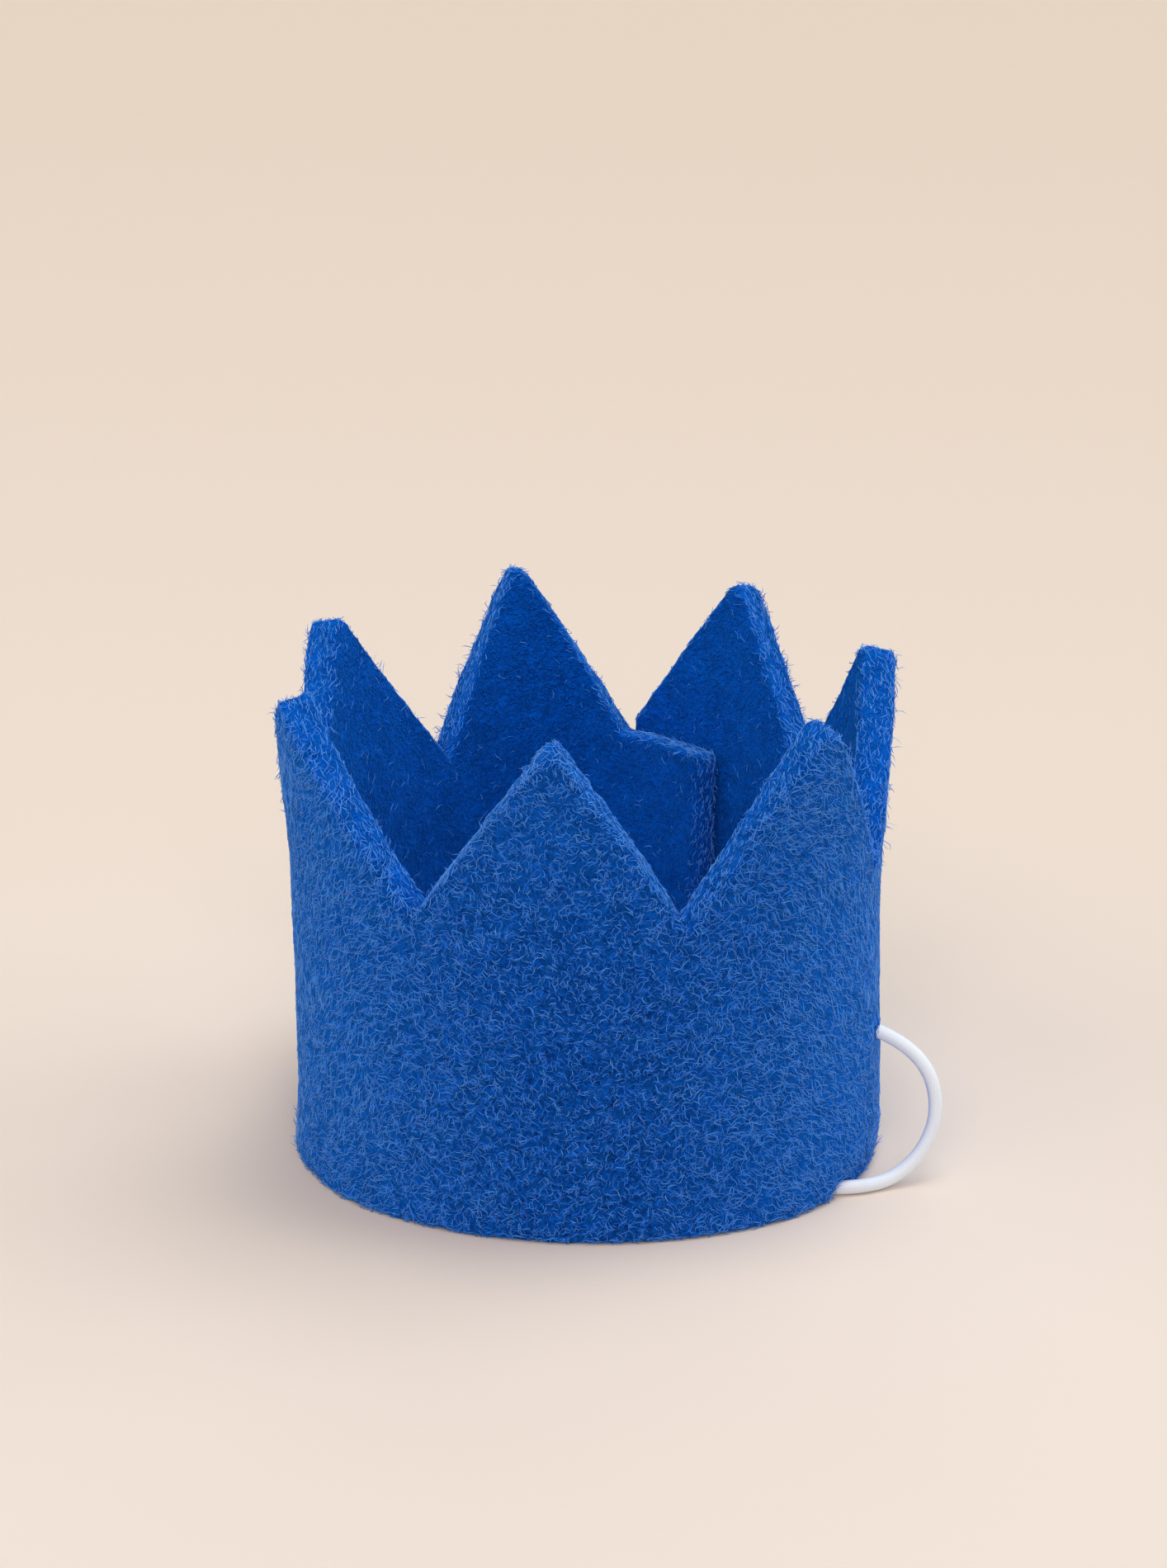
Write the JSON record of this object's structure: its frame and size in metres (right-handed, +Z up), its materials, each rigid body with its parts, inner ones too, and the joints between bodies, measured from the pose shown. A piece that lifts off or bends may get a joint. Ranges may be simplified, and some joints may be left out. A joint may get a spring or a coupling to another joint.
{
  "type": "felt birthday crown",
  "caption": "Small party crown cut from one strip of thick blue felt with pointed teeth, rolled into a ring and glued, with a white elastic cord to hold it on.",
  "frame": {"origin": "middle of the felt band's box, at the level of its bottom rim, which stands on the floor", "axes": "+Z up along the points, -Y out of the front of the crown, +X to the right as seen from the front"},
  "size_m": [0.0973, 0.0904, 0.0732],
  "materials": {
    "felt": "thick non-woven wool felt, hairy, matt",
    "glue": "set craft glue",
    "elastic": "braided white elastic"
  },
  "bodies": {
    "root": {"crown_band": "felt", "seam_glue": "glue", "elastic_cord": "elastic", "cord_knot_right": "elastic", "cord_knot_left": "elastic"}
  },
  "joints": []
}
